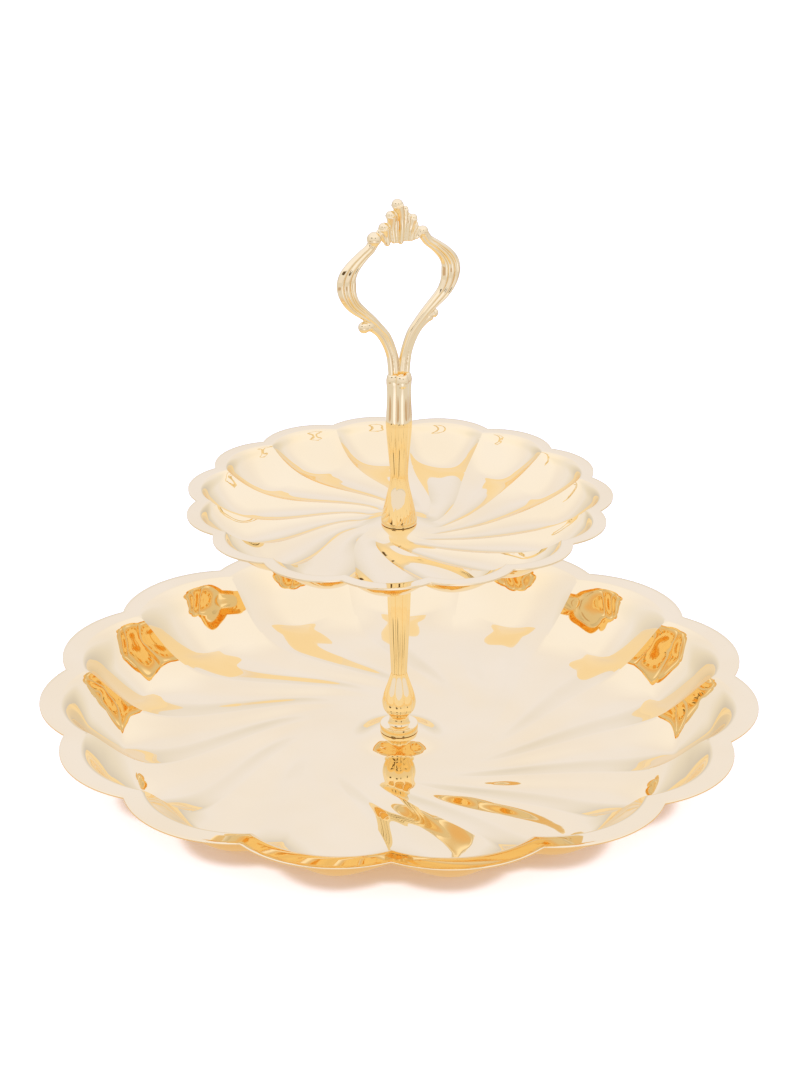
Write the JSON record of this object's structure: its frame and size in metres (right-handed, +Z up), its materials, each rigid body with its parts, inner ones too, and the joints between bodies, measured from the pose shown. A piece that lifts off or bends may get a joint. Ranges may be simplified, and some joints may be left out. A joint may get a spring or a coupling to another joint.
{
  "type": "two-tier cake stand",
  "caption": "Polished gold two-tier cake stand: swirl-fluted round plates with scalloped lips on a fluted central stem with a loop handle.",
  "frame": {"origin": "on the stem's axis, in the plane of the surface the stand rests on", "axes": "+Z up along the stem; +Y is away from the viewer; the plates are round, and the loop handle's plane is turned 26 degrees from +X towards +Y"},
  "size_m": [0.3482, 0.3478, 0.2773],
  "materials": {
    "plate_gold": "polished gold-coloured plating, mirror smooth",
    "stem_gold": "polished gold-coloured plating on a casting",
    "steel": "zinc-plated, slightly matt",
    "gasket": "soft translucent plastic"
  },
  "bodies": {
    "base": {"lower_plate": "plate_gold", "foot_gasket": "gasket"},
    "column": {"lower_column": "stem_gold", "tray_gasket_lower": "gasket"},
    "top_tray": {"upper_plate": "plate_gold"},
    "handle_washer": {"tray_gasket_upper": "gasket"},
    "handle": {"upper_column": "stem_gold", "handle_stud": "steel", "handle_loop": "stem_gold"},
    "screw_washer": {"base_washer": "steel"},
    "base_screw": {"base_screw": "steel"}
  },
  "joints": [
    {"name": "column_swivel", "type": "hinge", "parent": "base", "child": "column", "pos_m": [0, 0, 0.0055], "axis": [0, 0, 1], "continuous": true},
    {"name": "tray_swivel", "type": "hinge", "parent": "column", "child": "top_tray", "pos_m": [0, 0, 0.1157], "axis": [0, 0, 1], "continuous": true},
    {"name": "handle_rise", "type": "slide", "parent": "column", "child": "handle_washer", "axis": [0, 0, 1], "range_m": [0, 0.012]},
    {"name": "handle_turn", "type": "hinge", "parent": "handle_washer", "child": "handle", "pos_m": [0, 0, 0.1161], "axis": [0, 0, 1], "range_deg": [0, 4320]},
    {"name": "base_screw_travel", "type": "slide", "parent": "column", "child": "screw_washer", "axis": [0, 0, -1], "range_m": [0, 0.01]},
    {"name": "base_screw_turn", "type": "hinge", "parent": "screw_washer", "child": "base_screw", "pos_m": [0, 0, 0.0027], "axis": [0, 0, -1], "range_deg": [0, 3600]}
  ],
  "couplings": [
    {"joint": "handle_turn", "follows": "handle_rise", "rad_per_m": 6283.1},
    {"joint": "base_screw_turn", "follows": "base_screw_travel", "rad_per_m": 6283.1}
  ]
}
